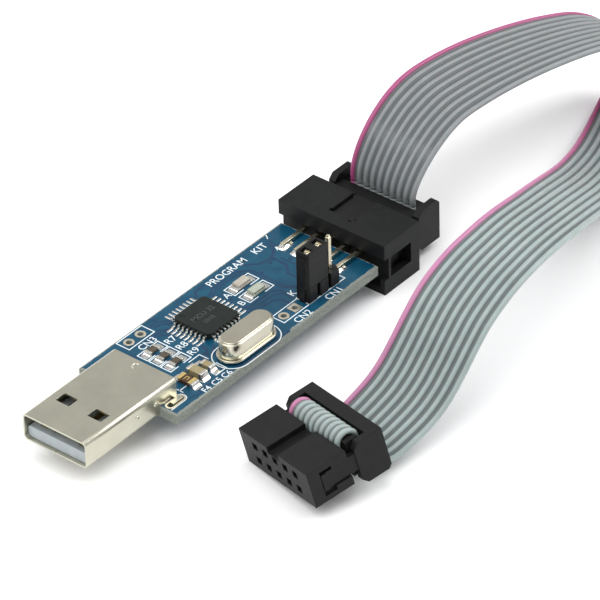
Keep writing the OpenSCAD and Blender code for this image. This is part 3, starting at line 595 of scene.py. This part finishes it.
def wire_section():
    """Outline of the ten wires and the webs between them, and which wire each point is on."""
    low = math.asin(WEB_HALF / WIRE_R)
    last = (WIRES - 1) / 2
    top = []
    for k in range(WIRES):
        middle = (k - last) * RIBBON_PITCH
        for i in range(9):
            a = math.pi - low - (math.pi - 2 * low) * i / 8
            top.append((middle + WIRE_R * math.cos(a), WIRE_R * math.sin(a), k))
    start = [(-last * RIBBON_PITCH - WIRE_R, 0, 0)]
    end = [(last * RIBBON_PITCH + WIRE_R, 0, WIRES - 1)]
    return start + top + end + [(u, -v, k) for u, v, k in reversed(top)]


SECTION = wire_section()


def sweep(name, places, sides, *nodes):
    """Carries the section along places; sides point to the ribbon's pink edge."""
    bm = bmesh.new()
    rows = []
    for i, p in enumerate(places):
        t = along(places, i)
        side = (sides[i] - t * sides[i].dot(t)).normalized()
        face = t.cross(side)
        rows.append([bm.verts.new(metres(p + side * u + face * v)) for u, v, _ in SECTION])
    n = len(SECTION)
    pink = [SECTION[k][2] == SECTION[(k + 1) % n][2] == WIRES - 1 for k in range(n)]
    for a, b in zip(rows[:-1], rows[1:]):
        for k in range(n):
            f = bm.faces.new((a[k], a[(k + 1) % n], b[(k + 1) % n], b[k]))
            f.material_index = int(pink[k])
            f.smooth = True
    cap_ends(bm, rows)
    obj = piece(name, bm, "cable", "ribbon", GREY_VINYL, PINK_VINYL)
    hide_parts(*nodes)
    return obj


line = smooth_route(ROUTE, 5)
places = [Vector(p[:3]) for p in line]
sides = []
for i, p in enumerate(line):
    t = along(places, i)
    level, bank = level_side(t), math.radians(p[3])
    sides.append(level * math.cos(bank) + t.cross(level) * math.sin(bank))
ribbon = sweep("ribbon", places, sides, "ribbon_cable")


def fold_line(tail):
    """The fold's middle line in a socket's own frame: up, over the cover, and down its tail."""
    front = BODY_D + WIRE_R
    pts = [(front, FOLD_START + (FOLD_TOP - FOLD_START) * i / 4) for i in range(4)]
    for i in range(17):
        a = math.pi - math.pi * i / 16
        pts.append((FOLD_MID + FOLD_R * math.cos(a), FOLD_TOP + FOLD_R * math.sin(a)))
    return pts + tail


plug_line = fold_line([(SLOT_MID, FOLD_TOP - FOLD_DOWN * i / 4) for i in range(1, 5)])
sweep("plug_fold", [at_plug(x, 0, z) for x, z in plug_line],
      [Vector((0, 1, 0))] * len(plug_line), "plug_ribbon_fold")

bend_x, bend_z = SLOT_MID + UNDER_BEND, SOCKET_EXIT[1] + UNDER_BEND
tail = [(SLOT_MID, FOLD_TOP + (bend_z - FOLD_TOP) * i / 4) for i in range(1, 4)]
for degrees in range(0, 91, 15):
    a = math.radians(degrees)
    tail.append((bend_x - UNDER_BEND * math.cos(a), bend_z - UNDER_BEND * math.sin(a)))
tail += [(bend_x + (SOCKET_EXIT[0] - bend_x) * i / 3, SOCKET_EXIT[1]) for i in range(1, 4)]
target_line = fold_line(tail)
sweep("target_fold", [at_target(x, 0, z) for x, z in target_line],
      [TARGET_TURN @ Vector((0, 1, 0))] * len(target_line), "target_ribbon_fold")

# ---- Print on the board ----

INK = 0.17                  # width of a printed line
INK_HIGH = 0.022
LETTER_Z = 0.012            # middle of a letter's thickness above the board

TOP_PRINT = [               # lines and whether each is closed
    ([(23.4, 6.45), (23.4, 8.98), (28.97, 8.98), (28.97, 6.45)], True),
    ([(26.4, -2.35), (28.7, -2.35), (28.7, -4.0)], False),
    ([(28.7, -5.6), (28.7, -7.45), (26.4, -7.45)], False),
    ([(21.3, -3.8), (22.0, -3.8), (22.0, -5.7), (20.4, -5.7)], False),
    ([(20.4, -5.2), (20.4, -6.3)], False),
    ([(57.5, 9.0), (57.0, 8.3)], False),
    ([(42.15, -4.85), (47.9, -4.85), (47.9, -7.2), (42.15, -7.2)], True),
    ([(47.9, -7.2), (56.2, -7.2), (56.2, -4.7), (47.9, -4.7)], False),
    (arc(CRYSTAL_X[0], CRYSTAL_Y, 3.0, 90, 270, 16)
     + arc(CRYSTAL_X[1], CRYSTAL_Y, 3.0, -90, 90, 16), True),
]
for y in RESISTOR_Y:
    for x, reach in ((24.6, -1.6), (25.9, 1.6)):
        TOP_PRINT.append(([(x, y + 0.97), (x + reach, y + 0.97), (x + reach, y - 0.97),
                           (x, y - 0.97)], False))
for y in (2.82, -0.03):
    for x, end in ((44.8, 42.95), (46.5, 48.4)):
        TOP_PRINT.append(([(x, y), (end, y), (end, y + 2.15), (x, y + 2.15)], False))
for side in (-1, 1):
    TOP_PRINT.append(([(16.3, side * 7.75), (19.1, side * 7.75)]
                      + arc(SLOT_X[1], side * SLOT_Y, 0.85, side * 90, side * -90, 12)
                      + [(19.1, side * 6.05)], False))

TOP_LABELS = [              # text, start of its foot line, height, and squeeze where it has one
    ("CN3", 24.4, 4.8, 1.25), ("R7", 27.85, 2.7, 1.25), ("R8", 27.85, 0.5, 1.25),
    ("R9", 27.85, -1.7, 1.25), ("F4", 22.3, -9.0, 1.1), ("C5", 24.4, -9.0, 1.1),
    ("C6", 26.6, -9.0, 1.1), ("A", 41.6, 3.2, 1.2), ("B", 41.6, 0.3, 1.2),
    ("PROGRAM", 42.4, 7.0, 1.35, 0.94), ("KIT", 52.8, 7.0, 1.35), ("CN2", 43.3, -8.9, 1.25),
    ("CN1", 50.5, -8.9, 1.25), ("K", 47.9, -4.1, 1.35),
]

bm = bmesh.new()
for points, closed in TOP_PRINT:
    stroke(bm, points, INK, 0.0, INK_HIGH, closed)
stroke(bm, [(56.0, 5.9), (55.7, 5.3), (56.4, 5.5)], 0.2, 0.0, INK_HIGH, True)
for text, x, y, high, *squeeze in TOP_LABELS:
    letters(bm, text, x, y, high, LETTER_Z, *squeeze)
piece("board_print", bm, "programmer", "board", WHITE)

# underside: outlines, and labels that read from below
bm = bmesh.new()
for x in (28, 31.2, 34.4, 37.6):
    stroke(bm, [(x - 1.3, 4.75), (x - 1.3, 6.45), (x + 1.3, 6.45), (x + 1.3, 4.75)], INK,
           UNDER - INK_HIGH, UNDER, True)
stroke(bm, [(46.6, 8.4), (54.2, 8.4), (54.2, 1.4), (46.6, 1.4)], INK, UNDER - INK_HIGH, UNDER,
       True)
for text, x, y, high in (("PROGRAMMER", 45.5, 0.5, 1.2), ("R1 R2 R3 R4", 39.2, 7.4, 0.9),
                         ("Z1 Z2", 30.2, 1.0, 0.9), ("U2", 56.6, 4.4, 1.0)):
    letters(bm, text, x, y, high, UNDER - LETTER_Z, flip=True)
piece("lower_print", bm, "programmer", "board", WHITE)

# ---- Copper tracks under the mask, and vias ----

TRACKS = [
    [(49.5, 7.0), (51.2, 5.2), (53.2, 4.6), (55.0, 5.4), (56.5, 7.3)],
    [(40.6, 5.9), (42.4, 6.7), (47.6, 6.6), (49.3, 5.0), (49.3, -1.6), (51.0, -3.3),
     (53.5, -3.3)],
    [(40.2, 4.6), (41.2, 5.6), (42.6, 6.1), (47.2, 6.0), (48.7, 4.6), (48.7, -1.4),
     (50.8, -3.9)],
    [(40.9, 0.4), (42.0, -0.6), (47.2, -0.7), (48.1, -1.6), (48.1, -3.2)],
    [(40.9, -0.4), (41.8, -1.3), (46.8, -1.5), (47.6, -2.3), (47.6, -4.2)],
    [(40.9, -1.2), (41.6, -2.0), (45.4, -2.3), (46.4, -3.3), (46.4, -4.6)],
    [(53.6, 4.3), (53.6, 1.8), (52.0, 0.2), (52.0, -1.8), (54.0, -3.8)],
    [(54.4, 3.6), (54.4, 1.2), (55.6, 0.0), (57.5, 0.0)],
    [(29.2, 7.7), (31.0, 7.7), (32.6, 6.4)],
    [(24.8, 5.6), (29.6, 5.9), (31.2, 4.9)],
    [(28.9, 5.2), (29.9, 4.2), (30.6, 4.2)],
    [(29.8, 7.0), (30.8, 7.0), (32.1, 5.9)],
    [(29.5, -3.2), (30.4, -2.2), (30.4, -0.8)],
    [(30.0, -4.0), (31.6, -2.6)],
    [(38.8, 6.8), (40.2, 8.2), (46.0, 8.2)],
    [(22.2, -7.9), (29.0, -8.4), (31.0, -9.0), (41.0, -9.0)],
    [(19.5, -7.9), (22.0, -8.4)],
    [(22.4, 5.4), (22.4, 4.9), (23.2, 4.2)],
]
LOWER_TRACKS = [
    [(24, 1.4), (24, 0.6), (30, 0.6), (32.5, 3.1), (32.5, 4.8)],
    [(28, 4.8), (28, 2.5), (26.6, 1.1)],
    [(31, -4.6), (31, -6.6), (40, -6.6)],
    [(37.6, 6.5), (37.6, 8), (46, 8)],
    [(39.6, -2.2), (41.5, -0.2), (46, -0.2)],
    [(47.5, 0), (49, 1.4)],
    [(34.4, 4.8), (34.4, 1.5), (38, -2)],
    [(20, 6.8), (22.5, 4.4), (24, 4.0)],
]
VIAS = [(52.55, 4.04), (53.65, 4.3), (49.73, 3.34), (41.9, 2.9), (30.2, 5.3), (29.4, -2.8),
        (41.6, -3.6), (55.2, 2.4), (31.2, 8.4)]
VIA_R = (0.13, 0.34)
VIA_HIGH = 0.018

bm = bmesh.new()
for k, path in enumerate(TRACKS):
    # each a little higher than the last, so that no two tops lie in one plane
    stroke(bm, path, 0.34 if k % 3 else 0.46, 0.0, 0.010 + 0.0004 * k)
for x, y in VIAS:
    ring(bm, x, y, *VIA_R, 0.0, VIA_HIGH)
piece("tracks", bm, "programmer", "board", TRACK)

bm = bmesh.new()
for path in LOWER_TRACKS:
    stroke(bm, path, 0.36, UNDER - 0.014, UNDER)
for x, y in VIAS:
    ring(bm, x, y, *VIA_R, UNDER - VIA_HIGH, UNDER)
piece("lower_tracks", bm, "programmer", "board", TRACK)

# ---- Pads and solder ----

bm = bmesh.new()
rng = random.Random(7)
reach = CHIP_HALF + 1.18
for turn in range(4):
    a = turn * math.pi / 2
    c, s = math.cos(a), math.sin(a)
    for i in range(LEADS_A_SIDE):
        across = (i - (LEADS_A_SIDE - 1) / 2) * LEAD_PITCH
        dome(bm, CHIP_AT[0] + reach * c - across * s, CHIP_AT[1] + reach * s + across * c,
             1.85, 0.38, 0.05 + rng.random() * 0.015, turn=a, power=8)
piece("chip_pads", bm, "programmer", "solder", SOLDER, smooth=True)

bm = bmesh.new()
for s in (-1, 1):
    for y in RESISTOR_Y:
        dome(bm, RESISTOR_X + s * 1.35, y, 1.2, 1.45, 0.07)
    for y in LED_Y:
        dome(bm, LED_X + s * 1.8, y, 1.3, 1.6, 0.06)
    for x, lx in zip(CAPACITOR_X, (1.7, 1.4)):
        dome(bm, x, FUSE_Y + s * 1.45, lx, 1.3, 0.08)
    dome(bm, FUSE_X, FUSE_Y + s * 1.75, 1.6, 1.2, 0.07)
for i in range(-2, 3):
    for z, side in ((0.0, 1), (UNDER, -1)):
        dome(bm, TAIL_X, i * PITCH, 2.4, 1.5, 0.42, z, side=side, power=2.4, steps=10)
piece("small_pads", bm, "programmer", "solder", SOLDER, smooth=True)

bm = bmesh.new()
ring(bm, *SQUARE_PAD, 0.53, 0.86, 0.0, 0.052, square=True, steps=32)
for y in (SLOT_Y, -SLOT_Y):
    rows = []
    for wider, z in ((0, 0.0), (0, 0.03), (0.32, 0.03), (0.32, 0.0)):
        r = SLOT_R + wider
        outline = arc(SLOT_X[1], y, r, -90, 90, 10) + arc(SLOT_X[0], y, r, 90, 270, 10)
        rows.append([bm.verts.new(board(px, py, z)) for px, py in outline])
    for k in range(4):
        skin(bm, rows[k], rows[(k + 1) % 4])
piece("plated_edges", bm, "programmer", "hole_rings", RING)

# ---- Bent tops of the jumper's contact, seen in the cap's windows ----

LEAF = ((-0.06, -0.55), (0.06, -0.55), (0.06, 0.55), (-0.06, 0.55))

bm = bmesh.new()
for pin_x in (JUMPER_X, JUMPER_X + PITCH):
    for side in (-1, 1):
        rows = []
        for k in range(9):
            u = k / 8
            x = pin_x + side * (0.5 - 0.16 * math.sin(math.pi * u))
            z = CAP_TOP - 1.3 + 1.05 * u
            rows.append([bm.verts.new(board(x + dx, JUMPER_Y + dy, z)) for dx, dy in LEAF])
        for a, b in zip(rows[:-1], rows[1:]):
            skin(bm, a, b)
        cap_ends(bm, rows)
piece("jumper_contact_tops", bm, "jumper", "contact_gold", PIN)

# ---- Marks on the parts ----

bm = bmesh.new()
letters(bm, "MCU 32", 33.2, 2.3, 0.95, CHIP_TOP + 0.001)
letters(bm, "1010", 33.9, 0.75, 0.8, CHIP_TOP + 0.001)
piece("chip_mark", bm, "programmer", "chip_plastic", CHIP_MARK)

bm = bmesh.new()
for y in (FUSE_Y + 1, FUSE_Y - 1):
    stroke(bm, [(22.05, y), (23.1, y)], 0.55, FUSE_TOP, FUSE_TOP + 0.02)
stroke(bm, [(22.2, -5.0), (22.9, -5.0), (22.9, -5.5), (22.3, -5.5)], 0.14,
       FUSE_TOP, FUSE_TOP + 0.02)
piece("fuse_mark", bm, "programmer", "fuse_brown", GOLD_MARK)


def rim(bm, centre, across, upward, out, r, high, pipe, degrees=360, start=0):
    """A small raised rim, whole or part of a circle, on a flat face; a part fades at its ends."""
    rows = []
    steps = max(8, degrees // 15)
    for k in range(steps + 1):
        a = math.radians(start + degrees * k / steps)
        way = across * math.cos(a) + upward * math.sin(a)
        fade = math.sin(math.pi * k / steps) if degrees < 360 else 1
        rows.append([bm.verts.new(centre + (way * (r + pipe * math.cos(b))
                                            + out * (high * fade * math.sin(b) - 0.002)) / 1000)
                     for b in (i * math.pi / 5 for i in range(6))])
    for a, b in zip(rows[:-1], rows[1:]):
        skin(bm, a, b, closed=False)


X, Y, Z = Vector((1, 0, 0)), Vector((0, 1, 0)), Vector((0, 0, 1))
bm = bmesh.new()
rim(bm, board(18.15, 0.35, 3.0), X, Y, Z, r=0.6, high=0.2, pipe=0.2, degrees=195, start=-10)
for x in (14.8, 10.9):
    rim(bm, board(x, -6.0, 1.0), X, Z, -Y, r=0.06, high=0.2, pipe=0.27)
piece("shell_marks", bm, "programmer", "usb_shell", NICKEL, smooth=True)

# ---- Floor and light ----

floor_mesh = bpy.data.meshes.new("floor")
floor_mesh.from_pydata([(-3, -3, 0), (3, -3, 0), (3, 3, 0), (-3, 3, 0)], [], [(0, 1, 2, 3)])
floor = bpy.data.objects.new("floor", floor_mesh)
bpy.context.scene.collection.objects.link(floor)
pale, tree, shader = node_material("pale_floor")
tone = blend_colour(tree, spread(tree, grain(tree, in_mm(tree), 0.01, 2), 0, 1),
                    (0.93, 0.93, 0.93), (0.91, 0.91, 0.915))
tree.links.new(tone, shader.inputs["Base Color"])
shader.inputs["Roughness"].default_value = 0.9
shader.inputs["Specular IOR Level"].default_value = 0.1
floor_mesh.materials.append(pale)

world = bpy.data.worlds.new("studio")
bpy.context.scene.world = world
world.use_nodes = True
sky = world.node_tree.nodes["Background"]
sky.inputs["Color"].default_value = (1, 1, 1, 1)
sky.inputs["Strength"].default_value = 0.66

LIGHTS = [                  # name, place and aim in metres, size in metres, power in watts
    ("key", (-0.30, 0.10, 0.75), (0, -0.01, 0), (0.9, 0.9), 6.2),
    ("fill", (0.50, -0.30, 0.50), (0.02, -0.01, 0), (0.5, 0.45), 3.4),
    ("edge", (0.1, 0.75, 0.30), (0, 0, 0), (0.5, 0.3), 0.6),
]
for name, place, aim, size, power in LIGHTS:
    light = bpy.data.lights.new(name, 'AREA')
    light.shape = 'RECTANGLE'
    light.size, light.size_y = size
    light.energy = power
    lamp = bpy.data.objects.new(name, light)
    bpy.context.scene.collection.objects.link(lamp)
    lamp.location = place
    lamp.rotation_mode = 'QUATERNION'
    lamp.rotation_quaternion = (Vector(aim) - Vector(place)).to_track_quat('-Z', 'Y')
